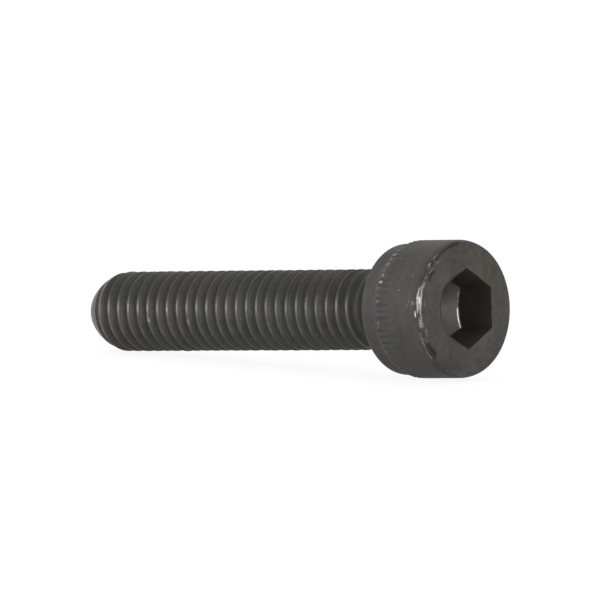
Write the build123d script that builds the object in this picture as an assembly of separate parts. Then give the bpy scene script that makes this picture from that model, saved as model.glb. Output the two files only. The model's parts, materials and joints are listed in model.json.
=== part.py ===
"""Hexagon socket head cap screw, M6 x 1 x 30, threaded up to the head, in one piece of black steel.

The screw lies on a level surface as it comes to rest: two ridges of the head's knurl and the shank
close to the tip touch it, so its axis leans down a little towards the tip.

It is modelled upright on its own axis, tip down, with the underside of the head at height 0, and is
laid down at the end. Sizes are in millimetres and angles in degrees. The thread is given by the
cylinder over its crests.
"""

import math
import os

from build123d import *

# Shank
LENGTH = 30.0  # from under the head to the tip
MAJOR_RADIUS = 2.96  # over the crests of a rolled M6 thread
NECK_RADIUS = 2.66  # plain blank under the head, close to the pitch diameter
THREAD_END = 2.6  # from under the head to the last full crest
RUNOUT_LENGTH = 1.0  # over which the thread fades into the neck
FILLET_RADIUS = 0.4  # between the neck and the head

# Tip, rounded by thread rolling
TIP_FACE_RADIUS = 1.7
TIP_LENGTH = 2.25  # over which the crests fall away
TIP_BULGE = 0.16  # how far the rounded end stands out of a plain cone

# Head
HEAD_RADIUS = 5.0
HEAD_HEIGHT = 6.0
BAND_RADIUS = 4.76  # plain band between the underside and the knurl
BAND_EDGE_RADIUS = 0.48
STEP_START = 1.42  # the knurl's ridges begin on a short slope
STEP_END = 1.83
CROWN_HEIGHT = 0.57  # rounded front edge
CROWN_RADIUS = 1.25
FACE_CHAMFER = 0.06

# Knurl
RIDGES = 63
GROOVE_DEPTH = 0.17  # at the back end, where the step begins
GROOVE_ANGLE = 100.0
GROOVE_END = 4.3  # height at which the grooves have run out towards the front

# Hexagon socket, with a corner up and a corner down when the screw lies
SOCKET_SIZE = 5.14  # across flats, for a 5 mm key
SOCKET_DEPTH = 3.0  # of the walls at their corners
SOCKET_TURN = -2.0  # off the upright
SOCKET_SHIFT = 0.28  # sideways off the head's axis, as it was punched
DRILL_ANGLE = 120.0  # of the cone at the bottom
MOUTH_RADIUS = 2.75  # countersink at the face, on the head's axis
MOUTH_ANGLE = 130.0


def tangent(angle):
    return math.tan(math.radians(angle))


def groove_depth(height):
    """Depth of a knurl groove, which falls evenly from the step to nothing at its front end."""
    return GROOVE_DEPTH * (GROOVE_END - height) / (GROOVE_END - STEP_START)


def lean():
    """Angle of the lying axis, from where the head and the tip end of the shank touch down.

    A groove faces the surface, so the head stands on the edges of that groove at the step.
    """
    half_width = groove_depth(STEP_END) * tangent(GROOVE_ANGLE / 2)
    head_contact_radius = math.sqrt(HEAD_RADIUS**2 - half_width**2)
    run = STEP_END + LENGTH - TIP_LENGTH
    return math.degrees(math.atan((head_contact_radius - MAJOR_RADIUS) / run))


def outline():
    """Half of the section through the axis: radius along X and height along Z."""
    crown_start = HEAD_HEIGHT - CROWN_HEIGHT
    crown_rise = CROWN_HEIGHT - FACE_CHAMFER
    face_edge_radius = HEAD_RADIUS - CROWN_RADIUS + math.sqrt(CROWN_RADIUS**2 - crown_rise**2)
    with BuildSketch(Plane.XZ) as section:
        with BuildLine():
            tip_face = Line((0, -LENGTH), (TIP_FACE_RADIUS, -LENGTH))
            tip = SagittaArc(tip_face @ 1, (MAJOR_RADIUS, TIP_LENGTH - LENGTH), -TIP_BULGE)
            shank = Polyline(
                tip @ 1,
                (MAJOR_RADIUS, -THREAD_END),
                (NECK_RADIUS, RUNOUT_LENGTH - THREAD_END),
                (NECK_RADIUS, -FILLET_RADIUS),
            )
            fillet = RadiusArc(shank @ 1, (NECK_RADIUS + FILLET_RADIUS, 0), FILLET_RADIUS)
            underside = Line(fillet @ 1, (BAND_RADIUS - BAND_EDGE_RADIUS, 0))
            band_edge = RadiusArc(underside @ 1, (BAND_RADIUS, BAND_EDGE_RADIUS), -BAND_EDGE_RADIUS)
            side = Polyline(
                band_edge @ 1,
                (BAND_RADIUS, STEP_START),
                (HEAD_RADIUS, STEP_END),
                (HEAD_RADIUS, crown_start),
            )
            crown = RadiusArc(side @ 1, (face_edge_radius, HEAD_HEIGHT - FACE_CHAMFER), -CROWN_RADIUS)
            Polyline(
                crown @ 1,
                (face_edge_radius - FACE_CHAMFER, HEAD_HEIGHT),
                (0, HEAD_HEIGHT),
                (0, -LENGTH),
            )
        make_face()
    return section.sketch


def knurl_groove():
    """V-shaped cutter for one groove, which rises out of the head towards the front."""
    stand_out = 0.3  # the cutter reaches this far outside the head and behind the step
    top = HEAD_RADIUS + stand_out
    ends = []
    for height in (STEP_START - stand_out, GROOVE_END):
        root = HEAD_RADIUS - groove_depth(height)
        half_width = (top - root) * tangent(GROOVE_ANGLE / 2)
        corners = [(root, 0, height), (top, half_width, height), (top, -half_width, height)]
        ends.append(Face(Wire.make_polygon(corners, close=True)))
    return loft(ends)


def knurl_grooves():
    groove = knurl_groove()
    return [Rot(0, 0, 360 * i / RIDGES) * groove for i in range(RIDGES)]


def socket():
    """Hexagon with the cone of its drilled hole at the bottom, and a countersink at its mouth."""
    corner_radius = SOCKET_SIZE / 2 / math.cos(math.radians(30))
    wall_end = HEAD_HEIGHT - SOCKET_DEPTH
    deepest = wall_end - corner_radius / tangent(DRILL_ANGLE / 2)
    hexagon = Rot(0, 0, SOCKET_TURN) * RegularPolygon(SOCKET_SIZE / 2, 6, major_radius=False)
    walls = extrude(Pos(0, 0, deepest) * hexagon, HEAD_HEIGHT - deepest)
    hole_section = Polyline(
        (0, deepest),
        (corner_radius, wall_end),
        (corner_radius, HEAD_HEIGHT),
        (0, HEAD_HEIGHT),
        close=True,
    )
    hole = revolve(Plane.XZ * make_face(hole_section), Axis.Z)
    mouth_depth = MOUTH_RADIUS / tangent(MOUTH_ANGLE / 2)
    mouth = Pos(0, 0, HEAD_HEIGHT - mouth_depth / 2) * Cone(0, MOUTH_RADIUS, mouth_depth)
    return Pos(0, SOCKET_SHIFT, 0) * (walls & hole) + mouth


def laid_down(shape):
    """Turn the upright axis over X, head towards +X, and stand the shape on height 0, centred."""
    laid = Rot(0, 90 - lean(), 0) * shape
    box = laid.bounding_box()
    return Pos(-box.center().X, -box.center().Y, -box.min.Z) * laid


def screw():
    body = revolve(outline(), Axis.Z)
    body -= knurl_grooves()
    body -= socket()
    return laid_down(body)


os.makedirs("parts", exist_ok=True)
export_step(screw(), "parts/screw.step")
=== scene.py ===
"""Looks for a hexagon socket head cap screw in blackened steel, lying on a white studio floor.

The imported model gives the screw's axis, place and outer sizes. One piece stands for it, a closed skin
with a rolled thread wound as a helix, a head with a knurled grip, and a hexagon socket. A point of the
skin is worked out by its height along the axis from the underside of the head, its radius and its angle
round the axis from the line that faces the floor. All lengths are in metres.
"""

import json
import math
from typing import NamedTuple

import bpy
import numpy as np
from bpy.props import FloatProperty, FloatVectorProperty, IntProperty, PointerProperty
from bpy.types import Operator, Panel, PropertyGroup
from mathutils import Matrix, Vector


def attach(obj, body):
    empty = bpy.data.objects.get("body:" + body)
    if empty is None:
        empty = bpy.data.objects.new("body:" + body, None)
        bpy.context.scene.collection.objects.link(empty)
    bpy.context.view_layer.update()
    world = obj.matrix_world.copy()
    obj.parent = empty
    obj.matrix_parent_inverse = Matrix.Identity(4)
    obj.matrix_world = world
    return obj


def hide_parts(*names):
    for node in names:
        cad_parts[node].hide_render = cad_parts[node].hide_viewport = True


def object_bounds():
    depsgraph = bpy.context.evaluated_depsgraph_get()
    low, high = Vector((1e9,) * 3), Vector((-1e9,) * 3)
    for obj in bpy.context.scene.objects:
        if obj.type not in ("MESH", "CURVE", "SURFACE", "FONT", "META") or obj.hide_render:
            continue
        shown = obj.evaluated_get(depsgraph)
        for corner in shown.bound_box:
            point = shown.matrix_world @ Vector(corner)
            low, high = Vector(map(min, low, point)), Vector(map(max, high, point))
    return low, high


bl_info = {
    "name": "Socket Head Cap Screw",
    "version": (1, 0, 0),
    "blender": (4, 5, 0),
    "location": "View3D > Sidebar > Screw",
    "description": "Builds a cap screw with a rolled thread and a knurled head, and a white studio",
    "category": "Add Mesh",
}

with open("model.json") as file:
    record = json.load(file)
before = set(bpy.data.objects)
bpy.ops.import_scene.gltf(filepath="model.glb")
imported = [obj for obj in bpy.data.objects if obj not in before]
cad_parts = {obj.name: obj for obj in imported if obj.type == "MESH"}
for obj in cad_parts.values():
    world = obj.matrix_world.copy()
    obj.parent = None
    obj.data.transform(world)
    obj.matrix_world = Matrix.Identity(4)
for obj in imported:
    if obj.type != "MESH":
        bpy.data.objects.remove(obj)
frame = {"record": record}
CAD_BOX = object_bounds()

MM = 0.001
FULL_TURN = 2 * math.pi

# The screw's own axis and sizes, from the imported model
MOUNTS = {mount["name"]: mount for mount in frame["record"]["mounts"]}
AXIS = np.array(MOUNTS["hex_socket"]["axis"])  # from the tip towards the socket
SIDEWAYS = np.array([0.0, 1.0, 0.0])
DOWN = np.cross(SIDEWAYS, AXIS)
THREAD_CENTRE = np.array(MOUNTS["thread"]["pos_m"])
BEARING = np.array(MOUNTS["under_head"]["pos_m"])
UNDER_HEAD = THREAD_CENTRE + ((BEARING - THREAD_CENTRE) @ AXIS) * AXIS
SOCKET_MOUTH = np.array(MOUNTS["hex_socket"]["pos_m"]) - UNDER_HEAD
HEAD_HEIGHT = float(SOCKET_MOUTH @ AXIS)
SOCKET_SHIFT = float(SOCKET_MOUTH @ SIDEWAYS)
CREST_RADIUS = MOUNTS["thread"]["dims"]["r_mm"] * MM
HEAD_RADIUS = (CAD_BOX[1].y - CAD_BOX[0].y) / 2
LEAN = math.atan2(AXIS[2], AXIS[0])

# How finely the skin is divided
THREAD_COLUMNS = 126  # round the shank
HEAD_COLUMNS = 3 * THREAD_COLUMNS  # six to each ridge of the knurl
RIDGE_PLACES = (0, 0.07, 0.11, 0.145, 0.18, 0.29, 0.4, 0.5)  # rows across half a ridge, in pitches
WELD = 1e-8  # points closer than this become one
WELD_OFFSET = 0.37  # keeps round numbers off the edge between two cells of the welding lattice
SHARP_ANGLE = math.radians(33)

# Thread
FLANK_ANGLE = math.radians(30)
FLANK_RADIUS = 3.09 * MM  # at which the flanks are an eighth of the pitch apart
CREST_ROUNDING = 0.06 * MM
ROOT_ROUNDING = 0.22 * MM
TIP_ROUNDING = 0.07 * MM
CREST_BOW = 0.009 * MM  # how much the crest is rounded off from its middle to its edge
CREST_HALF_WIDTH = 0.13  # in pitches
THREAD_START = -0.686 * MM  # height at which a crest passes the lowest line
RUNOUT_START = -3.1 * MM
RUNOUT_END = -1.75 * MM
SHANK_END = -0.6 * MM
HEAD_START = -0.5 * MM
TIP_DISH = 0.06 * MM  # hollow in the middle of the tip
CREST_SINK = 0.007 * MM  # how far the crests lie under their full radius on average, unevenly
CREST_TILT = 0.17  # slope by which a crest leans to either side along the helix
SNAP = 0.004 * MM  # points this close to the end of the tip or shank are drawn to it

# Wear, dirt, painted highlight and painted shade on the thread
CREST_MARKS_FROM = 0.075 * MM  # below the crests, where a crest's wear and painted highlight, and its oil and painted shade, begin
CREST_MARKS_FULL = 0.02 * MM
CREST_WEAR_AND_GLINT = 0.19  # of a crest in the highlight arc, on average, partly painted highlight
CREST_FLECKS = 0.26  # by how much flecks of wear add to that
# Arc where the key light's highlight falls on the crests; their bare steel is drawn there as a painted
# highlight
HIGHLIGHT_WEAR_ARC = (-103, -78, 18)  # first and last angle in degrees, and fade
SHARE_OUTSIDE_HIGHLIGHT = 0.25  # of the wear, outside the highlight arc
SHADED_CREST_ARCS = ((0.66, -176, -122, 20), (0.52, -50, -6, 16))  # painted shade on the crests' upper and lower sides: strength, then the arc
# Darkening of the crests towards the head, and the heights over which it sets in
DARKENING_TOWARDS_HEAD = 0.09
DARKENING_BEGINS = -19 * MM  # height from which that sets in
DARKENING_FULL = -9 * MM
OIL_PATCHES = 0.13
# Darker roots of the thread: dirt, and painted shade in the grooves
ROOT_DIRT_AND_SHADE = 0.10
ROOT_DIRT_AND_SHADE_REACH = 0.12 * MM  # up from the root

# Head, by height from its underside or radius of a rounding
FILLET_RADIUS = 0.4 * MM
BAND_EDGE_RADIUS = 0.48 * MM
STEP_START = 1.42 * MM  # slope on which the knurl's ridges begin
STEP_END = 1.83 * MM
CROWN_HEIGHT = 0.57 * MM  # of the rounded front edge
CROWN_RADIUS = 1.25 * MM
FACE_CHAMFER = 0.06 * MM
GROOVE_ANGLE = math.radians(100)
GROOVE_ROUNDING = 0.03 * MM
GROOVE_SHARES = (0.5, 1.15)  # least and most of the full depth
GROOVE_END_SPREAD = 0.9 * MM  # by which a groove may end sooner

# Strokes along the rim, the bare strands of its bruise drawn to the shape of its glint, partly a painted
# glint: millimetres inwards, width, first and last angle in degrees, strength
RIM_WEAR_AND_GLINT = (
    (-0.13, 0.09, -111, -91, 0.8),
    (0.14, 0.09, -113, -89, 0.86),
    (0.0, 0.16, -103, -99, 1.0),
    (0.02, 0.26, -113, -90, 0.5),
    (0.5, 0.10, -107, -94, 0.42),
    (-0.30, 0.08, -91, -88, 0.85),
    (0.15, 0.30, -118, -113, 0.48),
    (0.10, 0.34, -87, -78, 0.55),
    (-0.18, 0.07, -76, -46, 0.5),
    (0.40, 0.12, -74, -68, 0.48),
    (0.36, 0.09, -60, -58, 0.5),
    (0.13, 0.10, -123, -121, 0.55),
    (0.36, 0.10, -133, -129, 0.55),
    (0.0, 0.12, -135, -132, 0.55),
    (-0.05, 0.10, -144, -142, 0.5),
    (0.42, 0.09, -147, -142, 0.4),
)
# Creases, given in the same way, cut into the rim and darkened as painted shade
RIM_CREASES = (
    (0.56, 0.11, -132, -123, 0.9),
    (0.16, 0.09, -138, -135, 0.7),
    (0.12, 0.11, -175, -143, 0.75),
    (0.05, 0.13, -61, -46, 0.8),
    (0.28, 0.16, -60, -48, 1.0),
    (0.07, 0.08, -72, -69, 0.7),
)
# Spots on the head's side: height in millimetres, angle in degrees, size, strength
SIDE_SPOTS = (
    (5.0, -121.5, 0.12, 0.6),
    (3.8, -129, 0.10, 0.5),
    (0.75, -92.5, 0.13, 0.5),
    (0.6, -101, 0.11, 0.42),
    (5.4, -98, 0.40, 0.40),
    (5.3, -94, 0.34, 0.39),
    (5.0, -101, 0.30, 0.38),
    (4.9, -96, 0.36, 0.38),
    (3.9, -120, 0.09, 0.42),
    (2.9, -110, 0.1, 0.42),
)

RIM_WANDER = 0.035 * MM  # how far a stroke strays from its line
STROKE_FADE = 3  # degrees over which a stroke ends
BRUISE_DEPTH = 0.04 * MM
BRUISE_ARC = (-118, -82, 10)  # first and last angle in degrees, and fade
FOLD_HEIGHT = 0.02 * MM  # of the strands that the bruise left
CREASE_DEPTH = 0.08 * MM
CHATTER_HEIGHT = 0.008 * MM
CHATTER_ARC = (-170, -50, 10)
RIM_LINE = 0.3  # strength of the faint worn line all round the rim
MOUTH_LINE = 0.3  # and of the one round the socket's mouth
# Bare ridge ends of the knurl, partly a painted highlight, strongest in the arc where their glints fall
RIDGE_WEAR_AND_GLINT = (0.44, 0.64)  # least and most on a ridge's end
RIDGE_GLINT_ARC = (-152, -118, 12)
RIDGE_SHARE_OUTSIDE_GLINT = 0.76  # of the wear, outside the glint arc
BAND_EDGE_WEAR = 0.25
SIDE_WAVE = 0.004 * MM  # unevenness of the head's side
FACE_WAVE = 0.006 * MM  # and of its face
FACE_MIDDLE = 3.95 * MM  # radius inside which the face's rows close in on the socket's mouth
FACE_TURN_WIDTH = 1.4 * MM  # over which its columns turn to those of the socket

# Socket
MOUTH_SLOPE = math.tan(math.radians(65))  # inwards for each step down, in the countersink
CONE_SLOPE = math.tan(math.radians(60))  # and in the cone at the bottom
BOTTOM_ROUNDING = 0.16 * MM  # between the walls and the cone
CORNER_ROWS = 7  # across that rounding
CORNER_MIDDLE = CORNER_ROWS // 2  # row at which the walls end and the bottom begins
# Arcs where the burr's glint falls, on which its bare steel is drawn
BURR_GLINT_ARC = (60, 84, 9)  # first and last angle round the hexagon in degrees, and fade
FAINT_BURR_GLINT_ARC = (93, 112, 6)
# Bare steel of the burr, drawn where its glint falls and partly a painted highlight, row by row from the
# walls over the rounding to the cone
BURR_GLINT_ON_WALLS = (0.4, 1.0)
BURR_GLINT_ON_BOTTOM = (1.0, 1.0, 0.8, 0.4)
MOUTH_ROWS = 4  # down the countersink
# Painted shade on the countersink at the socket's mouth
MOUTH_PAINTED_SHADE = (0.0, 0.5, 0.5)  # row by row from the face
BOTTOM_PAINTED_SHADOW = 0.6  # painted shadow on the bottom's upper side

# Finish
# Tints: shift and scale of their noise, its values at which they begin and are full, and their colour
TINTS = (
    ((7.1, 3.3, 5.7), 0.42, 0.48, 0.66, (1.16, 1.0, 0.76)),
    ((1.7, 9.2, 2.4), 0.36, 0.50, 0.68, (0.93, 0.86, 1.0)),
)
TINT_STRENGTH = 0.6
MARK_COLOUR = (0.16, 0.16, 0.15)
DIRT_AND_SHADE_COVER = 0.9  # how much of the blackening's colour dirt and painted shade hide
DIRT_DULLNESS = 0.5  # what it adds to the roughness
BARE_SMOOTHNESS = 0.15  # what bare steel takes off it
ROUGHNESS_SPREAD = 0.05  # between stains, to either side
GRAIN_DEPTH = 0.006 * MM

# Studio
FLOOR_RADIUS = 2.5
FLOOR_RINGS = 12
FLOOR_COLUMNS = 48
FLOOR_COLOUR = (0.95, 0.95, 0.95)
SHADOW_SHARE = 0.16  # of the seen floor's white that light on it makes, and shadow can take away
FLOOR_LIFT = 0.05  # makes up for lamps that light the floor to less than white
# Lamps: name, its setting, azimuth and elevation in degrees, distance, width and height
SOFTBOXES = (
    ("strip_light", "key_radiance", -43, 7, 1.2, 0.84, 0.26),
    ("front_light", "front_radiance", 72, 8, 1.2, 0.8, 0.5),
    ("back_light", "back_radiance", 223, 44, 1.3, 1.2, 0.7),
)

# Surfaces, in the order of their materials
THREAD, SIDE, FACE, SOCKET, BOTTOM = range(5)


class Sheet(NamedTuple):
    """Part of the skin: flat arrays over its points, its triangles, and the surface it belongs to."""

    height: np.ndarray
    radius: np.ndarray
    angle: np.ndarray
    lift: np.ndarray  # how far the point stands out of the true surface
    wear_and_glint: np.ndarray  # from 0, fully blackened, to 1, bare steel, in places drawn where glints fall as painted highlight
    dirt_and_shade: np.ndarray  # from 0, clean, to 1, dark with old oil and dirt, and in places with painted shade
    triangles: np.ndarray
    surface: int


def length_setting(name, description, default):
    """Setting that holds a length in metres."""
    return FloatProperty(name=name, description=description, default=default, unit="LENGTH")


def angle_setting(name, description, degrees):
    """Setting that holds an angle, with its default given in degrees."""
    default = math.radians(degrees)
    return FloatProperty(name=name, description=description, default=default, subtype="ANGLE")


def colour_setting(name, description, default):
    """Setting that holds red, green and blue."""
    return FloatVectorProperty(name=name, description=description, default=default, subtype="COLOR", size=3)


def radiance_setting(name, description, default):
    """Setting that holds how bright a light looks, where 1 is white."""
    return FloatProperty(name=name, description=description, default=default, min=0.0)


class ScrewSizes(PropertyGroup):
    """Sizes of the screw, measured along its own axis or out from it."""

    pitch: length_setting("Pitch", "From one thread crest to the next", 1.0 * MM)
    crest_radius: length_setting("Crest Radius", "From the axis to the crests of the thread", CREST_RADIUS)
    root_radius: length_setting("Root Radius", "From the axis to the bottom of the thread", 2.5 * MM)
    neck_radius: length_setting("Neck Radius", "Plain blank between the thread and the head", 2.66 * MM)
    length: length_setting("Length", "From the underside of the head to the tip", 30.0 * MM)
    tip_face_radius: length_setting("Tip Face Radius", "Flat end of the tip", 1.7 * MM)
    tip_length: length_setting("Tip Length", "Over which the crests fall away towards the tip", 2.25 * MM)
    tip_bulge: length_setting("Tip Bulge", "How far the rounded tip stands out of a plain cone", 0.16 * MM)
    head_radius: length_setting("Head Radius", "Over the ridges of the knurl", HEAD_RADIUS)
    head_height: length_setting("Head Height", "From the underside of the head to its face", HEAD_HEIGHT)
    band_radius: length_setting("Band Radius", "Plain band between the underside and the knurl", 4.76 * MM)
    ridge_count: IntProperty(name="Ridges", description="Number round the head", default=63, min=3)
    groove_depth: length_setting("Groove Depth", "Of the knurl at its back end", 0.17 * MM)
    groove_end: length_setting("Groove End", "Height at which the longest grooves have run out", 4.3 * MM)
    socket_size: length_setting("Socket Size", "Hexagon socket across its flats, for a 5 mm key", 5.14 * MM)
    socket_shift: length_setting("Socket Shift", "Sideways, from axis to hexagon", SOCKET_SHIFT)
    socket_depth: length_setting("Socket Depth", "Depth of the socket's walls at their corners", 3.0 * MM)
    socket_turn: angle_setting("Socket Turn", "Angle from the lowest line to the socket's corner", -2.0)
    mouth_radius: length_setting("Mouth Radius", "Countersink at the face, on the head's axis", 2.75 * MM)


class ScrewFinish(PropertyGroup):
    """Colours of the blackened steel, also of its painted shade and light, and how much of it is worn bare.
    """

    thread_colour: colour_setting("Thread", "Blackening on the rolled thread", (0.046, 0.0463, 0.0400))
    side_colour: colour_setting("Head Side", "Blackening on the head's side", (0.0420, 0.0410, 0.0395))
    face_colour: colour_setting("Head Face", "Blackening on the head's face", (0.0485, 0.0455, 0.0405))
    # The walls' colour is darker than the face's, as painted shade in the socket
    socket_shaded_colour: colour_setting("Socket Walls", "Blackening on the walls", (0.0345, 0.0335, 0.031))
    # The bottom's colour is paler than the walls', as painted light in the socket
    bottom_lit_colour: colour_setting("Socket Bottom", "Paler bottom of the socket", (0.102, 0.101, 0.095))
    bare_colour: colour_setting("Bare Steel", "Where the blackening has worn off", (0.50, 0.48, 0.46))
    # Colour of dirt, also used as painted shade under the head, in the socket, in creases and on the crests
    dirt_and_shade_colour: colour_setting(
        "Dirt", "Old oil and dirt in creases, on the thread and under the head", (0.012, 0.012, 0.011)
    )
    # Scales the bare steel, which in places is drawn where glints fall as painted highlight
    wear_and_glint: FloatProperty(
        name="Wear",
        description="How much of the blackening has worn off edges",
        default=1.0,
        min=0.0,
        max=2.0,
        subtype="FACTOR",
    )


class StudioSettings(PropertyGroup):
    """Camera and lights of the white studio."""

    azimuth: angle_setting("Camera Azimuth", "Round the screw from its side towards its head", 42.9613)
    elevation: angle_setting("Camera Elevation", "Above the floor's level", 5.2570)
    distance: length_setting("Camera Distance", "From the point that the camera looks at", 805.01 * MM)
    aim: FloatVectorProperty(
        name="Camera Aim",
        description="Point that the camera looks at",
        default=(0.752 * MM, 0.894 * MM, 4.779 * MM),
        subtype="XYZ",
        unit="LENGTH",
        size=3,
    )
    lens: FloatProperty(name="Lens", description="Focal length in millimetres", default=659.48)
    key_radiance: radiance_setting("Key Light", "Low strip light at the tip's side", 16.3)
    front_radiance: radiance_setting("Front Light", "Soft light on the head's face", 3.9)
    back_radiance: radiance_setting("Back Light", "Soft light above and behind", 1.8)
    room_light: radiance_setting("Room Light", "White room all round", 0.63)


def soft_min(first, second, width):
    """The lower of two values, rounded off over a width where they meet."""
    share = np.clip(0.5 + (second - first) / (2 * width), 0, 1)
    return second + (first - second) * share - width * share * (1 - share)


def soft_max(first, second, width):
    """The higher of two values, rounded off over a width where they meet."""
    return -soft_min(-first, -second, width)


def smooth_step(value, start, end):
    """0 before the start and 1 after the end, by three squares less two cubes in between."""
    share = np.clip((value - start) / (end - start), 0, 1)
    return share * share * (3 - 2 * share)


def bell(value, centre, width):
    """1 at the centre, falling off as a normal curve of that width."""
    return np.exp(-(((value - centre) / width) ** 2))


def window(angle, start, end, fade):
    """1 between two angles in degrees, falling smoothly to 0 over a fade outside them."""
    degrees = np.degrees(angle - FULL_TURN * np.round(angle / FULL_TURN))
    return smooth_step(degrees, start - fade, start) * (1 - smooth_step(degrees, end, end + fade))


def ripple(seed, along, around, reach, waves, count=14):
    """Smooth unevenness from about -1 to 1.

    It is a sum of cosines, each with a whole number of waves round the screw up to waves, a length
    along the screw down to reach, and a phase, all drawn from the seed.
    """
    draw = np.random.default_rng(seed)
    total = np.zeros(np.broadcast(along, around).shape)
    for _ in range(count):
        turns = draw.integers(1, waves + 1) * draw.choice((-1, 1))
        pace = draw.uniform(0.15, 1.0) * FULL_TURN / reach
        total += np.cos(turns * around + pace * along + draw.uniform(0, FULL_TURN))
    return total / math.sqrt(2 * count)


def helix_ripple(seed, turn, reach, count):
    """Smooth unevenness along the helix, where a turn counts as a millimetre of the reach."""
    return ripple(seed, turn * MM, 0 * turn, reach, 1, count)


def grid_triangles(rows, columns):
    """Two triangles for each cell of a grid of points, wound so that the skin faces outwards."""
    corner = (np.arange(rows - 1)[:, None] * columns + np.arange(columns - 1)).ravel()
    first = np.stack([corner, corner + 1, corner + columns + 1], axis=1)
    second = np.stack([corner, corner + columns + 1, corner + columns], axis=1)
    return np.concatenate([first, second])


def round_angles(columns):
    """Angles once round the axis, with the first repeated at the end."""
    return np.linspace(0, FULL_TURN, columns + 1)


def grid_sheet(height, radius, angle, surface, lift=0.0, wear_and_glint=0.0, dirt_and_shade=0.0):
    """Sheet of a grid whose rows go along the outline and whose columns go round the axis."""
    shape = np.broadcast(height, radius, angle).shape
    values = [np.broadcast_to(v, shape).ravel() for v in (height, radius, angle, lift, wear_and_glint, dirt_and_shade)]
    return Sheet(*values, grid_triangles(*shape), surface)


def tip_radius(sizes, height):
    """Rounded tip: an arc from the edge of the flat end to the crests.

    The arc bulges out of its chord. Its radius is half the chord squared plus the bulge squared, over
    twice the bulge, and its centre lies on the chord's middle line.
    """
    rise = sizes.crest_radius - sizes.tip_face_radius
    chord = math.hypot(rise, sizes.tip_length)
    arc_radius = (chord * chord / 4 + sizes.tip_bulge**2) / (2 * sizes.tip_bulge)
    inset = arc_radius - sizes.tip_bulge
    centre_height = sizes.tip_length / 2 - sizes.length + inset * rise / chord
    centre_radius = sizes.tip_face_radius + rise / 2 - inset * sizes.tip_length / chord
    offset = np.minimum(height, centre_height) - centre_height
    return centre_radius + np.sqrt(arc_radius**2 - offset**2)


def crest_line(sizes, turn, place):
    """Radius of the crest, which is slightly bowed, and uneven along the helix as rolling leaves it."""
    sunk = CREST_SINK * (1 - helix_ripple(11, turn, reach=0.11 * MM, count=20))
    tilt = CREST_TILT * helix_ripple(12, turn, reach=0.4 * MM, count=12)
    bow = CREST_BOW * (place / CREST_HALF_WIDTH) ** 2
    return sizes.crest_radius - sunk - bow + tilt * place * sizes.pitch


def thread_radius(sizes, height, turn, place):
    """Radius of the rolled thread, by height, turns along the helix, and place across it in pitches.

    The flank falls at 30 degrees to the cross-section. The crest, the root and the rounded tip cut it
    off, each rounded in, and towards the head the ridge sinks into the plain neck.
    """
    across = np.abs(place) * sizes.pitch
    flank = FLANK_RADIUS - (across - sizes.pitch / 16) / math.tan(FLANK_ANGLE)
    ridge = soft_max(flank, sizes.root_radius, ROOT_ROUNDING)
    ridge = soft_min(ridge, crest_line(sizes, turn, place), CREST_ROUNDING)
    ridge = soft_min(ridge, tip_radius(sizes, height), TIP_ROUNDING)
    sunk = smooth_step(height, RUNOUT_START, RUNOUT_END)
    return ridge + (sizes.neck_radius - ridge) * sunk


def crest_wear_and_glint(turn, angle):
    """Wear of the crests, with flecks along the helix, most of it in the arc where the key light's
    highlight falls, as a painted highlight.
    """
    lit_arc_weight = SHARE_OUTSIDE_HIGHLIGHT + (1 - SHARE_OUTSIDE_HIGHLIGHT) * window(angle, *HIGHLIGHT_WEAR_ARC)
    return lit_arc_weight * (CREST_WEAR_AND_GLINT + CREST_FLECKS * helix_ripple(13, turn, reach=0.09 * MM, count=20))


def crest_oil_and_shade(height, angle):
    """Darkening of the crests: painted shade along the upper and lower sides, more towards the head, and
    old oil in patches.
    """
    sides = sum(strength * window(angle, *arc) for strength, *arc in SHADED_CREST_ARCS)
    headward = DARKENING_TOWARDS_HEAD * smooth_step(height, DARKENING_BEGINS, DARKENING_FULL)
    patches = OIL_PATCHES * np.clip(ripple(14, height, angle, 3.0 * MM, 2, 8), 0, 1)
    return sides + headward + patches


def threaded_shank(sizes):
    """Thread as one helical sheet, welded along its own edge.

    A column is an angle and a row keeps its place across the ridge, so a point's height is the pitch
    times the turns made, plus its place. Heights past either end are drawn back to that end.
    """
    half = np.array(RIDGE_PLACES)
    places = np.concatenate([-half[:0:-1], half[:-1]])
    lowest = math.floor((-sizes.length - THREAD_START) / sizes.pitch) - 2
    highest = math.ceil((SHANK_END - THREAD_START) / sizes.pitch) + 1
    ridges = np.arange(lowest, highest)
    ridge = np.repeat(ridges, len(places))[:, None]
    place = np.tile(places, len(ridges))[:, None]
    angle = round_angles(THREAD_COLUMNS)[None, :]
    turn = ridge + angle / FULL_TURN
    height = THREAD_START + (turn + place) * sizes.pitch
    height = np.where(height < SNAP - sizes.length, -sizes.length, height)
    height = np.where(height > SHANK_END - SNAP, SHANK_END, height)
    radius = thread_radius(sizes, height, turn, place)
    crest = smooth_step(radius, sizes.crest_radius - CREST_MARKS_FROM, sizes.crest_radius - CREST_MARKS_FULL)
    root = 1 - smooth_step(radius, sizes.root_radius, sizes.root_radius + ROOT_DIRT_AND_SHADE_REACH)
    # Crest wear, partly a painted highlight in the arc where the key's highlight falls
    wear_and_glint = crest * crest_wear_and_glint(turn, angle)
    # Crest oil and painted shade on the crests' sides; dirt and painted shade at the roots
    dirt_and_shade = np.maximum(crest * crest_oil_and_shade(height, angle), ROOT_DIRT_AND_SHADE * root)
    # Painted shade: the neck under the head is fully darkened
    dirt_and_shade = np.maximum(dirt_and_shade, smooth_step(height, RUNOUT_START, RUNOUT_END))
    return grid_sheet(height, radius, angle, THREAD, wear_and_glint=wear_and_glint, dirt_and_shade=dirt_and_shade)


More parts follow.
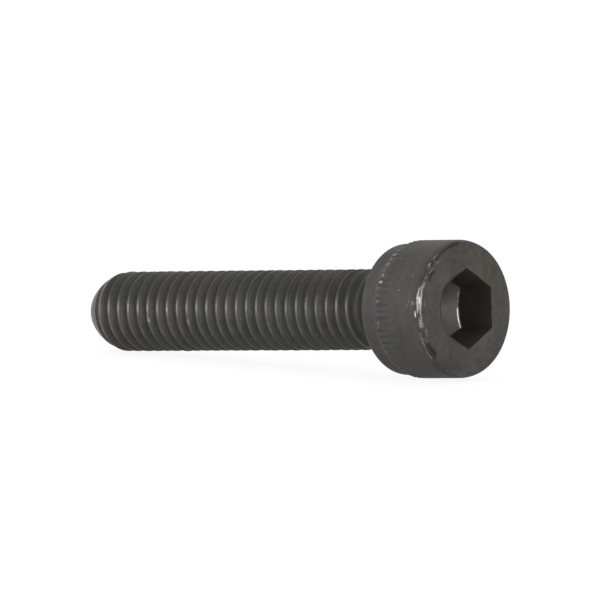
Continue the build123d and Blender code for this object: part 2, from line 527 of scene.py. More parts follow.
def tip_end(sizes):
    """End of the tip, from its middle to its edge, dished by a cosine."""
    share = np.linspace(0, 1, 6)[:, None]
    height = -sizes.length + TIP_DISH * (1 + np.cos(math.pi * share)) / 2
    angle = round_angles(THREAD_COLUMNS)[None, :]
    return grid_sheet(height, sizes.tip_face_radius * share, angle, THREAD)


def neck_join(sizes):
    """Ring on the neck that goes from the shank's columns to the head's, three to one."""
    few = round_angles(THREAD_COLUMNS)
    many = round_angles(HEAD_COLUMNS)
    start = np.arange(THREAD_COLUMNS)
    above = THREAD_COLUMNS + 1 + 3 * start
    triangles = np.concatenate(
        [
            np.stack([start, above + 1, above], axis=1),
            np.stack([start, start + 1, above + 1], axis=1),
            np.stack([start + 1, above + 2, above + 1], axis=1),
            np.stack([start + 1, above + 3, above + 2], axis=1),
        ]
    )
    angle = np.concatenate([few, many])
    height = np.concatenate([np.full(len(few), SHANK_END), np.full(len(many), HEAD_START)])
    radius = np.full(len(angle), sizes.neck_radius)
    none = np.zeros(len(angle))
    # The ring is fully darkened, as painted shade under the head
    return Sheet(height, radius, angle, none, none, none + 1, triangles, THREAD)


def arc(centre, radius, start, end, count):
    """Heights and radii on an arc. Its angles go from the outward direction towards the face."""
    angles = np.radians(np.linspace(start, end, count))
    return np.stack([centre[0] + radius * np.sin(angles), centre[1] + radius * np.cos(angles)], axis=1)


def run(start, end, count):
    """Heights and radii on a straight line."""
    return np.linspace(start, end, count)


def head_outline(sizes):
    """Outline of the head from the neck to the rim, as rows of height and radius."""
    fillet_centre = (-FILLET_RADIUS, sizes.neck_radius + FILLET_RADIUS)
    band_centre = (BAND_EDGE_RADIUS, sizes.band_radius - BAND_EDGE_RADIUS)
    crown_start = sizes.head_height - CROWN_HEIGHT
    crown_centre = (crown_start, sizes.head_radius - CROWN_RADIUS)
    crown_end = math.degrees(math.asin((CROWN_HEIGHT - FACE_CHAMFER) / CROWN_RADIUS))
    return np.concatenate(
        [
            run((HEAD_START, sizes.neck_radius), (-FILLET_RADIUS, sizes.neck_radius), 2)[:-1],
            arc(fillet_centre, FILLET_RADIUS, 180, 90, 7),
            run((0, fillet_centre[1]), (0, band_centre[1]), 4)[1:-1],
            arc(band_centre, BAND_EDGE_RADIUS, -90, 0, 9),
            run((BAND_EDGE_RADIUS, sizes.band_radius), (STEP_START, sizes.band_radius), 6)[1:],
            run((STEP_START, sizes.band_radius), (STEP_END, sizes.head_radius), 7)[1:],
            run((STEP_END, sizes.head_radius), (sizes.groove_end, sizes.head_radius), 14)[1:],
            run((sizes.groove_end, sizes.head_radius), (crown_start, sizes.head_radius), 11)[1:-1],
            arc(crown_centre, CROWN_RADIUS, 0, crown_end, 10),
        ]
    )


def knurl_cut(sizes, height, angle):
    """Depth of the knurl below the head's radius: V grooves that rise out of the head to the front.

    Each groove's depth falls evenly with height from the step to nothing, and each starts at its own
    depth and ends at its own height, as the wheel that pressed them left it.
    """
    spacing = FULL_TURN / sizes.ridge_count
    groove = np.round(angle / spacing).astype(int) % sizes.ridge_count
    draw = np.random.default_rng(21)
    strength = draw.uniform(*GROOVE_SHARES, sizes.ridge_count)[groove]
    end = sizes.groove_end - draw.uniform(0, GROOVE_END_SPREAD, sizes.ridge_count)[groove]
    depth = sizes.groove_depth * strength * np.clip((end - height) / (end - STEP_START), 0, None)
    offset = (angle - np.round(angle / spacing) * spacing) * sizes.head_radius
    flanks = np.hypot(offset, GROOVE_ROUNDING) / math.tan(GROOVE_ANGLE / 2)
    return np.clip(depth - flanks, 0, None)


def ridge_strength(sizes, angle):
    """How bare each ridge's end is, drawn for each ridge and strongest in the arc where their glints fall:
    wear, partly a painted highlight.
    """
    ridge = np.floor(angle / FULL_TURN * sizes.ridge_count).astype(int) % sizes.ridge_count
    lit_arc_weight = RIDGE_SHARE_OUTSIDE_GLINT + (1 - RIDGE_SHARE_OUTSIDE_GLINT) * window(angle, *RIDGE_GLINT_ARC)
    return lit_arc_weight * np.random.default_rng(25).uniform(*RIDGE_WEAR_AND_GLINT, sizes.ridge_count)[ridge]


def strokes(marks, inwards, angle):
    """Strongest of several strokes along the rim, each a bell across and a window round the axis."""
    total = np.zeros(np.broadcast(inwards, angle).shape)
    for place, width, start, end, strength in marks:
        wander = RIM_WANDER * ripple(int(-start), inwards * 0, angle, MM, 30)
        across = bell(inwards + wander, place * MM, width * MM)
        total = np.maximum(total, strength * across * window(angle, start, end, STROKE_FADE))
    return total


def rim_lift(inwards, angle):
    """Bruise, folded strands and creases at the rim, by the distance inwards and the angle."""
    flattened = -BRUISE_DEPTH * window(angle, *BRUISE_ARC) * bell(inwards, 0.06 * MM, 0.2 * MM)
    folded = FOLD_HEIGHT * strokes(RIM_WEAR_AND_GLINT, inwards, angle)
    chatter = CHATTER_HEIGHT * ripple(31, inwards, angle, 0.2 * MM, 60) * bell(inwards, 0, 0.4 * MM)
    creased = -CREASE_DEPTH * strokes(RIM_CREASES, inwards, angle)
    return flattened + folded + chatter * window(angle, *CHATTER_ARC) + creased


def rim_wear_and_glint(inwards, angle):
    """Wear at the rim, partly a painted glint: the bright strands of the bruise, flecks, and a faint line
    all round.
    """
    broken = 1 + 0.5 * ripple(32, inwards * 0, angle, MM, 24)
    return np.maximum(strokes(RIM_WEAR_AND_GLINT, inwards, angle), RIM_LINE * bell(inwards, 0, 0.07 * MM) * broken)


def spots(marks, height, angle, radius):
    """Strongest of several round spots on the skin, by their height, angle and size."""
    total = np.zeros(np.broadcast(height, angle).shape)
    for place, degrees, size, strength in marks:
        around = (angle - FULL_TURN * np.round(angle / FULL_TURN) - math.radians(degrees)) * radius
        total = np.maximum(total, strength * bell(np.hypot(height - place * MM, around), 0, size * MM))
    return total


def distance_from_rim(sizes, height, radius):
    """Distance inwards over the face from the rim's small chamfer, and less than 0 back down the side."""
    edge_height = sizes.head_height - FACE_CHAMFER / 2
    crown_rise = CROWN_HEIGHT - FACE_CHAMFER
    crown_end = sizes.head_radius - CROWN_RADIUS + math.sqrt(CROWN_RADIUS**2 - crown_rise**2)
    edge_radius = crown_end - FACE_CHAMFER / 2
    away = np.hypot(height - edge_height, radius - edge_radius)
    return np.where(height >= edge_height, away, -away)


def head_side(sizes):
    """Head from the neck to the rim: its outline turned round the axis, less the knurl's grooves."""
    outline = head_outline(sizes)
    height = outline[:, 0][:, None]
    full = outline[:, 1][:, None]
    angle = round_angles(HEAD_COLUMNS)[None, :]
    cut = sizes.head_radius - knurl_cut(sizes, height, angle)
    on_grip = (height > BAND_EDGE_RADIUS) & (height < sizes.head_height - CROWN_HEIGHT)
    radius = np.where(on_grip, np.minimum(full, cut), full + 0 * cut)
    inwards = distance_from_rim(sizes, height, full) + 0 * angle
    wavy = (height > 0) * SIDE_WAVE * ripple(22, height, angle, 1.6 * MM, 9)
    on_ridge = smooth_step(radius, full - 0.04 * MM, full)
    ridge_end = bell(height, STEP_END + 0.12 * MM, 0.24 * MM) * on_ridge
    band_edge = bell(height, 0.2 * MM, 0.16 * MM) * (full > sizes.band_radius - 0.2 * MM)
    spread = 0.5 + 0.5 * ripple(23, height, angle, 3.0 * MM, 40)
    # Bare ridge ends, partly a painted highlight where their glints fall
    worn = np.maximum(ridge_end * ridge_strength(sizes, angle), BAND_EDGE_WEAR * band_edge * spread)
    worn = np.maximum(worn, spots(SIDE_SPOTS, height, angle, full))
    # Bare strands at the rim, partly a painted glint
    wear_and_glint = np.maximum(rim_wear_and_glint(inwards, angle), worn)
    # Painted shade on the head's underside and in the rim's creases
    dirt_and_shade = np.maximum(strokes(RIM_CREASES, inwards, angle), height < 0)
    return grid_sheet(height, radius, angle, SIDE, wavy + rim_lift(inwards, angle), wear_and_glint, dirt_and_shade)


def hexagon(sizes):
    """Distance and angle of the socket's walls from the hexagon's own middle.

    A wall is half the socket's size away over the cosine of the angle from its normal.
    """
    around = round_angles(HEAD_COLUMNS) + sizes.socket_turn
    sixth = FULL_TURN / 6
    from_corner = np.mod(around - sizes.socket_turn, sixth)
    return sizes.socket_size / 2 / np.cos(from_corner - sixth / 2), around


def socket_walls(sizes):
    """Radius and angle, from the head's axis, of each column down the socket's walls."""
    return shifted_columns(sizes, *hexagon(sizes))


def shifted_columns(sizes, reach, around):
    """Radius and angle from the head's axis of points given from the middle of the hexagon."""
    down = reach * np.cos(around)
    side = reach * np.sin(around) + sizes.socket_shift
    turned = np.arctan2(side, down) - around
    return np.hypot(down, side), around + turned - FULL_TURN * np.round(turned / FULL_TURN)


def head_face(sizes):
    """Rim and face: the rim's small chamfer, then a ring in to the socket's mouth.

    The mouth is the outer one of the hexagon and the countersink's circle. The columns turn a little on
    their way in, from even angles at the rim to those of the socket's walls.
    """
    rim = head_outline(sizes)[-1]
    edge_radius = rim[1] - FACE_CHAMFER
    wall, wall_angle = socket_walls(sizes)
    mouth = np.maximum(wall, sizes.mouth_radius)[None, :]
    chamfer = np.linspace(0, 1, 3)[:, None]
    outer = edge_radius + (FACE_MIDDLE - edge_radius) * np.linspace(0, 1, 19)[1:, None]
    inner = FACE_MIDDLE + (mouth - FACE_MIDDLE) * np.linspace(0, 1, 8)[1:, None]
    none = np.zeros((1, HEAD_COLUMNS + 1))
    radius = np.concatenate([rim[1] - FACE_CHAMFER * chamfer + none, outer + none, inner + none])
    height = np.full(radius.shape, sizes.head_height)
    height[: len(chamfer)] = rim[0] + FACE_CHAMFER * chamfer
    even = round_angles(HEAD_COLUMNS)[None, :]
    turned = (wall_angle - even) * (1 - smooth_step(radius - mouth, 0, FACE_TURN_WIDTH))
    angle = even + turned
    inwards = distance_from_rim(sizes, height, radius)
    wavy = -FACE_WAVE * (1 + ripple(24, radius, angle, 2.0 * MM, 7))
    lift = rim_lift(inwards, angle) + wavy * smooth_step(inwards, 0.05 * MM, 0.4 * MM)
    lift = lift * smooth_step(radius - mouth, 0, 0.15 * MM)
    # Bare strands at the rim, partly a painted glint
    wear_and_glint = np.maximum(rim_wear_and_glint(inwards, angle), MOUTH_LINE * bell(radius, mouth, 0.05 * MM))
    # Painted shade in the rim's creases
    dirt_and_shade = strokes(RIM_CREASES, inwards, angle)
    return grid_sheet(height, radius, angle, FACE, lift, wear_and_glint, dirt_and_shade)


def rounded_corner(before, corner, after, count):
    """Heights and radii on a curve that leaves the first line and joins the second at their corner.

    The curve is a parabola: shares of the three points go as one less t squared, twice t by one less
    t, and t squared.
    """
    share = np.linspace(0, 1, count)[:, None]
    weights = ((1 - share) ** 2, 2 * share * (1 - share), share**2)
    return [sum(w * p[i] for w, p in zip(weights, (before, corner, after))) for i in range(2)]


def socket_corner(sizes):
    """Rounded corner between the walls and the cone, as heights and distances from the middle.

    The cone that the drill left meets the walls deeper down on their flats than in their corners.
    """
    reach, around = hexagon(sizes)
    corner_reach = sizes.socket_size / 2 / math.cos(FULL_TURN / 12)
    meeting = sizes.head_height - sizes.socket_depth - (corner_reach - reach) / CONE_SLOPE
    slanted = BOTTOM_ROUNDING / math.hypot(1, CONE_SLOPE)
    above = (meeting + BOTTOM_ROUNDING, reach)
    below = (meeting - slanted, reach - slanted * CONE_SLOPE)
    height, distance = rounded_corner(above, (meeting, reach), below, CORNER_ROWS)
    return height, distance, around


def burr_glint(around):
    """How strong the bright burr is along the bottom's edge, by the angle round the hexagon, drawn where
    its glint falls: partly a painted highlight.
    """
    return window(around, *BURR_GLINT_ARC) + 0.5 * window(around, *FAINT_BURR_GLINT_ARC)


def by_row(values, rows, at_end=False):
    """Column of one value for each row: those given come first, or last, and the others are 0."""
    zeros = (0.0,) * (rows - len(values))
    return np.array(zeros + values if at_end else values + zeros)[:, None]


def socket(sizes):
    """Countersink at the mouth and six walls, down to the middle of the rounded corner."""
    wall, wall_angle = socket_walls(sizes)
    mouth = np.maximum(wall, sizes.mouth_radius)
    share = np.linspace(0, 1, MOUTH_ROWS)[:, None]
    mouth_radius = mouth + (wall - mouth) * share
    mouth_height = sizes.head_height - (mouth - mouth_radius) / MOUTH_SLOPE
    low_height, low_reach, around = socket_corner(sizes)
    low_height, low_reach = low_height[: CORNER_MIDDLE + 1], low_reach[: CORNER_MIDDLE + 1]
    low_radius, low_angle = shifted_columns(sizes, low_reach, around)
    height = np.concatenate([mouth_height, low_height])
    radius = np.concatenate([mouth_radius, low_radius])
    angle = np.concatenate([wall_angle + 0 * share, low_angle])
    # Painted shade on the countersink
    dirt_and_shade = by_row(MOUTH_PAINTED_SHADE, len(height))
    # Bare burr on the walls' rounding, partly a painted highlight
    wear_and_glint = by_row(BURR_GLINT_ON_WALLS, len(height), at_end=True) * burr_glint(around)
    return grid_sheet(height, radius, angle, SOCKET, wear_and_glint=wear_and_glint, dirt_and_shade=dirt_and_shade)


def socket_bottom(sizes):
    """Cone at the bottom, from the middle of its rounded edge."""
    low_height, low_reach, around = socket_corner(sizes)
    share = np.linspace(0, 1, 8)[1:, None]
    cone_reach = low_reach[-1] * (1 - share)
    cone_height = low_height[-1] - (low_reach[-1] - cone_reach) / CONE_SLOPE
    height = np.concatenate([low_height[CORNER_MIDDLE:], cone_height])
    reach = np.concatenate([low_reach[CORNER_MIDDLE:], cone_reach])
    radius, angle = shifted_columns(sizes, reach, around)
    # Bare burr on the bottom's rounding, partly a painted highlight
    wear_and_glint = by_row(BURR_GLINT_ON_BOTTOM, len(height)) * burr_glint(around)
    # Painted shadow across the bottom's upper side
    dirt_and_shade = BOTTOM_PAINTED_SHADOW * smooth_step(-np.cos(around), 0.0, 0.8)
    return grid_sheet(height, radius, angle, BOTTOM, wear_and_glint=wear_and_glint, dirt_and_shade=dirt_and_shade)


def placed(height, radius, angle):
    """Points in the frame: along the axis by the height, and out from it at the angle."""
    out = np.cos(angle)[:, None] * DOWN + np.sin(angle)[:, None] * SIDEWAYS
    return UNDER_HEAD + height[:, None] * AXIS + radius[:, None] * out


def point_normals(points, triangles):
    """Normal at each point: the sum of its triangles' normals by their area, made one long."""
    corners = points[triangles]
    normals = np.cross(corners[:, 1] - corners[:, 0], corners[:, 2] - corners[:, 0])
    total = np.zeros_like(points)
    for axis in range(3):
        for corner in range(3):
            total[:, axis] += np.bincount(triangles[:, corner], normals[:, axis], len(points))
    return total / np.linalg.norm(total, axis=1, keepdims=True)


def merged(points, triangles):
    """Which points stay when equal ones are made one, their triangles, and which triangles those were.

    A point goes to the cell of a fine lattice that it lies in. A triangle stays if its three corners
    still differ.
    """
    lattice = np.rint(points / WELD + WELD_OFFSET).astype(np.int64)
    _, first, same = np.unique(lattice, axis=0, return_index=True, return_inverse=True)
    triangles = same.reshape(-1)[triangles]
    whole = (triangles != np.roll(triangles, 1, axis=1)).all(axis=1)
    return first, triangles[whole], whole


def weld(sheets):
    """One closed skin of all sheets: equal points made one, empty triangles dropped, points lifted."""
    fields = [np.concatenate([sheet[i] for sheet in sheets]) for i in range(6)]
    starts = np.cumsum([0] + [len(sheet.height) for sheet in sheets[:-1]])
    triangles = np.concatenate([sheet.triangles + start for sheet, start in zip(sheets, starts)])
    surfaces = np.concatenate([np.full(len(sheet.triangles), sheet.surface) for sheet in sheets])
    points = placed(*fields[:3])
    kept, triangles, whole = merged(points, triangles)
    lift, wear_and_glint, dirt_and_shade = (field[kept] for field in fields[3:])
    points = points[kept]
    points = points + lift[:, None] * point_normals(points, triangles)
    return points, triangles, surfaces[whole], wear_and_glint, dirt_and_shade


def mesh_object(name, points, triangles):
    """New object at the origin whose mesh has these points and triangles, shaded smooth."""
    mesh = bpy.data.meshes.new(name)
    mesh.from_pydata(points, [], triangles)
    mesh.shade_smooth()
    made = bpy.data.objects.new(name, mesh)
    bpy.context.scene.collection.objects.link(made)
    return made


def point_attribute(mesh, name, values):
    """Stores one number for each point of a mesh, for its material to read."""
    stored = mesh.attributes.new(name, "FLOAT", "POINT")
    stored.data.foreach_set("value", values.astype(np.float32))


def add_node(tree, kind, settings=None, inputs=None):
    """New node. Inputs go by name or number, and one that is a socket is linked, not set."""
    made = tree.nodes.new(kind)
    for name, value in (settings or {}).items():
        setattr(made, name, value)
    for key, value in (inputs or {}).items():
        if isinstance(value, bpy.types.NodeSocket):
            tree.links.new(value, made.inputs[key])
        else:
            made.inputs[key].default_value = value
    return made


def maths(tree, operation, first, second=0.0):
    """Result of a sum on two values."""
    return add_node(tree, "ShaderNodeMath", {"operation": operation}, {0: first, 1: second}).outputs[0]


def vector_maths(tree, operation, inputs):
    """Result of a sum on vectors or colours."""
    return add_node(tree, "ShaderNodeVectorMath", {"operation": operation}, inputs).outputs[0]


def weighted(tree, first, share, second):
    """First value times its share, plus the second times the rest."""
    rest = maths(tree, "MULTIPLY", second, 1 - share)
    return maths(tree, "ADD", maths(tree, "MULTIPLY", first, share), rest)


def noise(tree, vector, scale, detail=3.0, roughness=0.5):
    """Noise from 0 to 1 whose blotches are about one over the scale wide, in the vector's units."""
    inputs = {"Vector": vector, "Scale": scale, "Detail": detail, "Roughness": roughness}
    return add_node(tree, "ShaderNodeTexNoise", None, inputs).outputs["Fac"]


def ramp(tree, value, low, high, to_low=0.0, to_high=1.0):
    """Value rescaled from one range to another, held at its ends."""
    inputs = {
        "Value": value,
        "From Min": low,
        "From Max": high,
        "To Min": to_low,
        "To Max": to_high,
    }
    return add_node(tree, "ShaderNodeMapRange", {"clamp": True}, inputs).outputs["Result"]


def blend_colour(tree, factor, first, second):
    """Colour between two, by a factor."""
    made = add_node(tree, "ShaderNodeMix", {"data_type": "RGBA"}, {"Factor": factor})
    for number, value in ((6, first), (7, second)):
        if isinstance(value, bpy.types.NodeSocket):
            tree.links.new(value, made.inputs[number])
        else:
            made.inputs[number].default_value = (*value, 1.0)
    return made.outputs[2]


def new_group(name, inputs, outputs):
    """New shader group with its sockets, and the nodes that hold its inputs and outputs."""
    group = bpy.data.node_groups.new(name, "ShaderNodeTree")
    for label, kind in inputs:
        group.interface.new_socket(label, in_out="INPUT", socket_type=kind)
    for label, kind in outputs:
        group.interface.new_socket(label, in_out="OUTPUT", socket_type=kind)
    start = group.nodes.new("NodeGroupInput")
    end = group.nodes.new("NodeGroupOutput")
    return group, start.outputs, end.inputs


def oxide_group():
    """Uneven blackening: broad stains, and the tints that they take."""
    group, inputs, outputs = new_group(
        "Uneven Blackening",
        [("Place", "NodeSocketVector"), ("Colour", "NodeSocketColor"), ("Amount", "NodeSocketFloat")],
        [("Colour", "NodeSocketColor"), ("Stain", "NodeSocketFloat")],
    )
    place, colour, amount = inputs["Place"], inputs["Colour"], inputs["Amount"]
    broad = noise(group, place, 0.32, 4.0, 0.55)
    stain = weighted(group, broad, 0.55, noise(group, place, 2.1, 3.0, 0.6))
    light = maths(group, "MULTIPLY_ADD", ramp(group, stain, 0.36, 0.64, -0.5, 0.5), amount)
    light.node.inputs[2].default_value = 1.0
    shade = vector_maths(group, "SCALE", {0: colour, "Scale": light})
    for shift, scale, start, full, share in TINTS:
        shifted = vector_maths(group, "ADD", {0: place, 1: shift})
        patches = ramp(group, noise(group, shifted, scale, 3.0, 0.6), start, full, 0.0, TINT_STRENGTH)
        shade = blend_colour(group, patches, shade, vector_maths(group, "MULTIPLY", {0: shade, 1: share}))
    group.links.new(shade, outputs["Colour"])
    group.links.new(stain, outputs["Stain"])
    return group


def wear_group():
    """Bare steel along edges, from the skin's own worn places, some drawn where glints fall as painted
    highlight, broken up by fine noise.
    """
    group, inputs, outputs = new_group(
        "Edge Wear",
        [("Place", "NodeSocketVector"), ("Wear", "NodeSocketFloat"), ("Amount", "NodeSocketFloat")],
        [("Bare", "NodeSocketFloat")],
    )
    coarse = noise(group, inputs["Place"], 1.6, 2.0, 0.6)
    broken = weighted(group, coarse, 0.5, noise(group, inputs["Place"], 7.0, 3.0, 0.65))
    exposed = maths(group, "MULTIPLY", inputs["Wear"], inputs["Amount"])
    shown = maths(group, "ADD", exposed, maths(group, "SUBTRACT", broken, 0.5))
    group.links.new(ramp(group, shown, 0.35, 0.85), outputs["Bare"])
    return group


def marks_group():
    """Pale specks and hair-fine scratches from handling, and the height that they leave."""
    group, inputs, outputs = new_group(
        "Handling Marks",
        [("Place", "NodeSocketVector"), ("Amount", "NodeSocketFloat")],
        [("Marks", "NodeSocketFloat"), ("Height", "NodeSocketFloat")],
    )
    place = inputs["Place"]
    cells = add_node(group, "ShaderNodeTexVoronoi", None, {"Vector": place, "Scale": 1.25})
    near = ramp(group, cells.outputs["Distance"], 0.05, 0.11, 1.0, 0.0)
    chosen = add_node(group, "ShaderNodeSeparateColor", None, {0: cells.outputs["Color"]}).outputs[0]
    specks = maths(group, "MULTIPLY", near, maths(group, "GREATER_THAN", chosen, 0.80))
    drawn_out = {"Vector": place, "Scale": (0.5, 3.0, 3.0), "Rotation": (0.3, 0.2, 0.6)}
    along_scratches = add_node(group, "ShaderNodeMapping", None, drawn_out).outputs[0]
    lines = noise(group, along_scratches, 1.4, 4.0, 0.7)
    scratches = ramp(group, lines, 0.70, 0.76, 0.0, 0.5)
    both = maths(group, "MULTIPLY", maths(group, "MAXIMUM", specks, scratches), inputs["Amount"])
    group.links.new(both, outputs["Marks"])
    group.links.new(maths(group, "MULTIPLY", scratches, -1.0), outputs["Height"])
    return group


def skin_group():
    """Fine grain of the pressed and blackened skin, as a height from about -0.5 to 0.5."""
    group, inputs, outputs = new_group(
        "Steel Grain",
        [("Place", "NodeSocketVector"), ("Grain", "NodeSocketFloat")],
        [("Height", "NodeSocketFloat")],
    )
    fine = noise(group, inputs["Place"], 9.0, 3.0, 0.6)
    height = weighted(group, fine, 0.6, noise(group, inputs["Place"], 2.4, 2.0, 0.5))
    height = maths(group, "MULTIPLY", maths(group, "SUBTRACT", height, 0.5), inputs["Grain"])
    group.links.new(height, outputs["Height"])
    return group


class Surface(NamedTuple):
    """How one surface of the screw is finished."""

    name: str
    colour: str  # the property that holds its colour
    stains: float
    roughness: float
    gloss: float  # the shader's specular level
    marks: float
    grain: float


SURFACES = (
    Surface("rolled_thread", "thread_colour", 0.60, 0.39, 0.31, 0.5, 0.25),
    Surface("head_side", "side_colour", 0.60, 0.72, 0.23, 1.0, 1.0),
    Surface("head_face", "face_colour", 0.85, 0.58, 0.30, 0.8, 1.0),
    # The socket's walls and bottom are shaded and lit copies of one blackened steel
    Surface("punched_socket", "socket_shaded_colour", 0.35, 0.50, 0.40, 0.2, 0.6),
    Surface("socket_bottom", "bottom_lit_colour", 0.30, 0.50, 0.40, 0.2, 1.0),
)


def empty_tree(owner):
    """Node tree of a new material or world, emptied."""
    owner.use_nodes = True
    owner.node_tree.nodes.clear()
    return owner.node_tree


def place_on_screw(tree):
    """Place in millimetres from the middle of the head's underside, with X along the screw's axis."""
    centre = -np.array([UNDER_HEAD @ AXIS, 0.0, -(UNDER_HEAD @ DOWN)]) / MM
    coordinates = add_node(tree, "ShaderNodeTexCoord").outputs["Object"]
    turned = {"Vector": coordinates, "Scale": (1 / MM,) * 3, "Rotation": (0, LEAN, 0), "Location": centre}
    return add_node(tree, "ShaderNodeMapping", None, turned).outputs[0]


def placed_group(tree, group, inputs):
    """Outputs of a shader group placed in a material."""
    return add_node(tree, "ShaderNodeGroup", {"node_tree": group}, inputs).outputs


def point_value(tree, name):
    """Number that the mesh keeps for each point under a name."""
    return add_node(tree, "ShaderNodeAttribute", {"attribute_name": name}).outputs["Fac"]


def steel_material(surface, finish, groups):
    """Blackened steel with stains, bare edges, handling marks and a fine grain."""
    oxide, edge_wear, marks, skin = groups
    material = bpy.data.materials.new(surface.name)
    tree = empty_tree(material)
    place = place_on_screw(tree)
    colour = (*getattr(finish, surface.colour), 1.0)
    stained = placed_group(tree, oxide, {"Place": place, "Colour": colour, "Amount": surface.stains})
    wear_and_glint = {"Place": place, "Wear": point_value(tree, "wear_and_glint"), "Amount": finish.wear_and_glint}
    bare = placed_group(tree, edge_wear, wear_and_glint)["Bare"]
    marked = placed_group(tree, marks, {"Place": place, "Amount": surface.marks})
    grain = placed_group(tree, skin, {"Place": place, "Grain": surface.grain})
    dirt_and_shade = point_value(tree, "dirt_and_shade")
    base = blend_colour(tree, marked["Marks"], stained["Colour"], MARK_COLOUR)
    # Darkened towards the dirt colour where there is dirt and where shade is painted
    base = blend_colour(tree, maths(tree, "MULTIPLY", dirt_and_shade, DIRT_AND_SHADE_COVER), base, tuple(finish.dirt_and_shade_colour))
    base = blend_colour(tree, bare, base, tuple(finish.bare_colour))
    limits = (surface.roughness - ROUGHNESS_SPREAD, surface.roughness + ROUGHNESS_SPREAD)
    dulled = ramp(tree, stained["Stain"], 0.35, 0.65, *limits)
    dulled = maths(tree, "ADD", dulled, maths(tree, "MULTIPLY", dirt_and_shade, DIRT_DULLNESS))
    roughness = maths(tree, "SUBTRACT", dulled, maths(tree, "MULTIPLY", bare, BARE_SMOOTHNESS))
    height = maths(tree, "ADD", grain["Height"], marked["Height"])
    bumped = {"Height": height, "Distance": GRAIN_DEPTH, "Strength": 1.0}
    shader = add_node(
        tree,
        "ShaderNodeBsdfPrincipled",
        None,
        {
            "Base Color": base,
            "Metallic": bare,
            "Roughness": roughness,
            "Specular IOR Level": surface.gloss,
            "Normal": add_node(tree, "ShaderNodeBump", None, bumped).outputs[0],
        },
    )
    add_node(tree, "ShaderNodeOutputMaterial", None, {"Surface": shader.outputs[0]})
    return material


class SCREW_OT_make_screw(Operator):
    """Build the threaded and knurled screw in place of the plain CAD one"""

    bl_idname = "screw.make_screw"
    bl_label = "Make Screw"

    def execute(self, context):
        sizes = context.scene.screw_sizes
        finish = context.scene.screw_finish
        sheets = [
            tip_end(sizes),
            threaded_shank(sizes),
            neck_join(sizes),
            head_side(sizes),
            head_face(sizes),
            socket(sizes),
            socket_bottom(sizes),
        ]
        points, triangles, surfaces, wear_and_glint, dirt_and_shade = weld(sheets)
        piece = mesh_object("cap_screw", points, triangles)
        mesh = piece.data
        mesh.polygons.foreach_set("material_index", surfaces.astype(np.int32))
        mesh.set_sharp_from_angle(angle=SHARP_ANGLE)
        point_attribute(mesh, "wear_and_glint", wear_and_glint)
        point_attribute(mesh, "dirt_and_shade", dirt_and_shade)
        groups = (oxide_group(), wear_group(), marks_group(), skin_group())
        for surface in SURFACES:
            mesh.materials.append(steel_material(surface, finish, groups))
        mesh.update()
        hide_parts("screw")
        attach(piece, "root")
        return {"FINISHED"}


def direction(azimuth, elevation):
    """Unit vector by azimuth, from the side of the screw towards its head, and elevation."""
    level = math.cos(elevation)
    return Vector((math.sin(azimuth) * level, -math.cos(azimuth) * level, math.sin(elevation)))


def seen_rays(tree):
    """1 for rays from the camera, and for those that a shiny or clear surface sends on."""
    path = add_node(tree, "ShaderNodeLightPath")
    seen = maths(tree, "MAXIMUM", path.outputs["Is Camera Ray"], path.outputs["Is Glossy Ray"])
    return maths(tree, "MAXIMUM", seen, path.outputs["Is Transmission Ray"])


def mixed_shader(tree, lighting, seen):
    """One shader for light on its way, and another for what the camera or a shiny surface sees."""
    inputs = {0: seen_rays(tree), 1: lighting.outputs[0], 2: seen.outputs[0]}
    return add_node(tree, "ShaderNodeMixShader", None, inputs).outputs[0]


def studio_floor():
    """Round floor at height 0: rings of growing radius about the screw's place."""
    radius = FLOOR_RADIUS * np.linspace(0, 1, FLOOR_RINGS)[:, None] ** 2
    angle = round_angles(FLOOR_COLUMNS)[None, :]
    points = np.stack([radius * np.cos(angle), radius * np.sin(angle), 0 * radius * angle], axis=2)
    points = points.reshape(-1, 3)
    facing_down = grid_triangles(FLOOR_RINGS, FLOOR_COLUMNS + 1)
    kept, triangles, _ = merged(points, facing_down[:, ::-1])
    floor = mesh_object("studio_floor", points[kept], triangles)
    floor.data.materials.append(floor_material())
    return floor


def floor_material():
    """Plain pale floor, seen as white, which keeps the soft shadow of what stands on it."""
    material = bpy.data.materials.new("white_floor")
    tree = empty_tree(material)
    plain = add_node(tree, "ShaderNodeBsdfDiffuse", None, {"Color": (*FLOOR_COLOUR, 1.0)})
    lit = add_node(tree, "ShaderNodeBsdfDiffuse", None, {"Color": (*(SHADOW_SHARE,) * 3, 1.0)})
    glow = add_node(tree, "ShaderNodeEmission", None, {"Strength": 1.0 - SHADOW_SHARE + FLOOR_LIFT})
    seen = add_node(tree, "ShaderNodeAddShader", None, {0: lit.outputs[0], 1: glow.outputs[0]})
    add_node(tree, "ShaderNodeOutputMaterial", None, {"Surface": mixed_shader(tree, plain, seen)})
    return material


def white_room(strength):
    """World that lights the screw evenly, and is white where the camera or a shiny surface sees it."""
    world = bpy.data.worlds.new("white_room")
    tree = empty_tree(world)
    white = (1.0, 1.0, 1.0, 1.0)
    lighting = add_node(tree, "ShaderNodeBackground", None, {"Color": white, "Strength": strength})
    seen = add_node(tree, "ShaderNodeBackground", None, {"Color": white, "Strength": 1.0})
    mixed = mixed_shader(tree, lighting, seen)
    add_node(tree, "ShaderNodeOutputWorld", None, {"Surface": mixed})
    return world


def softbox(name, towards, distance, width, height, radiance):
    """Rectangular lamp that faces the screw. Its power is pi times its area times its radiance."""
    lamp = bpy.data.lights.new(name, "AREA")
    lamp.shape = "RECTANGLE"
    lamp.size = width
    lamp.size_y = height
    lamp.energy = math.pi * width * height * radiance
    made = bpy.data.objects.new(name, lamp)
    made.location = towards * distance
    made.rotation_euler = (-towards).to_track_quat("-Z", "Y").to_euler()
    made.visible_camera = False
    bpy.context.scene.collection.objects.link(made)
    return made


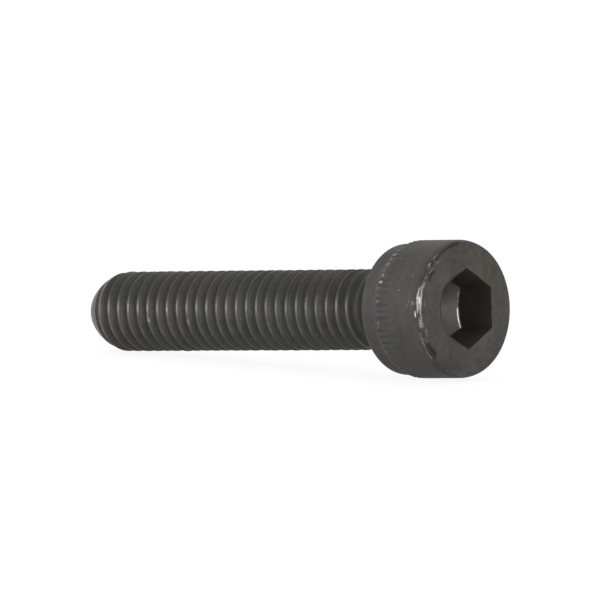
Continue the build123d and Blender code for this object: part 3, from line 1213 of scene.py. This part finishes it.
def studio_camera(studio):
    """Camera at the settings' distance from the point that it looks at."""
    lens = bpy.data.cameras.new("camera")
    lens.sensor_width = 36.0
    lens.lens = studio.lens
    lens.clip_start = 0.05
    lens.clip_end = 10.0
    camera = bpy.data.objects.new("camera", lens)
    back = direction(studio.azimuth, studio.elevation)
    camera.location = Vector(studio.aim) + back * studio.distance
    camera.rotation_euler = (-back).to_track_quat("-Z", "Y").to_euler()
    bpy.context.scene.collection.objects.link(camera)
    return camera


class SCREW_OT_make_studio(Operator):
    """Lay the white floor and set up the lights and the camera"""

    bl_idname = "screw.make_studio"
    bl_label = "Make Studio"

    def execute(self, context):
        scene = context.scene
        studio = scene.screw_studio
        studio_floor()
        scene.world = white_room(studio.room_light)
        for name, setting, azimuth, elevation, distance, width, height in SOFTBOXES:
            towards = direction(math.radians(azimuth), math.radians(elevation))
            softbox(name, towards, distance, width, height, getattr(studio, setting))
        scene.camera = studio_camera(studio)
        scene.view_settings.view_transform = "Standard"
        return {"FINISHED"}


class SCREW_PT_panel(Panel):
    """Sizes, finish and studio of the screw, and the buttons that build them"""

    bl_idname = "SCREW_PT_panel"
    bl_label = "Cap Screw"
    bl_space_type = "VIEW_3D"
    bl_region_type = "UI"
    bl_category = "Screw"

    def draw(self, context):
        layout = self.layout
        for group in ("screw_sizes", "screw_finish", "screw_studio"):
            settings = getattr(context.scene, group)
            box = layout.box()
            for name in type(settings).__annotations__:
                box.prop(settings, name)
        layout.operator(SCREW_OT_make_screw.bl_idname)
        layout.operator(SCREW_OT_make_studio.bl_idname)


CLASSES = (
    ScrewSizes,
    ScrewFinish,
    StudioSettings,
    SCREW_OT_make_screw,
    SCREW_OT_make_studio,
    SCREW_PT_panel,
)


def register():
    for item in CLASSES:
        bpy.utils.register_class(item)
    bpy.types.Scene.screw_sizes = PointerProperty(type=ScrewSizes)
    bpy.types.Scene.screw_finish = PointerProperty(type=ScrewFinish)
    bpy.types.Scene.screw_studio = PointerProperty(type=StudioSettings)


def unregister():
    del bpy.types.Scene.screw_studio
    del bpy.types.Scene.screw_finish
    del bpy.types.Scene.screw_sizes
    for item in reversed(CLASSES):
        bpy.utils.unregister_class(item)


def main():
    register()
    bpy.ops.screw.make_screw()
    bpy.ops.screw.make_studio()


if __name__ == "__main__":
    main()
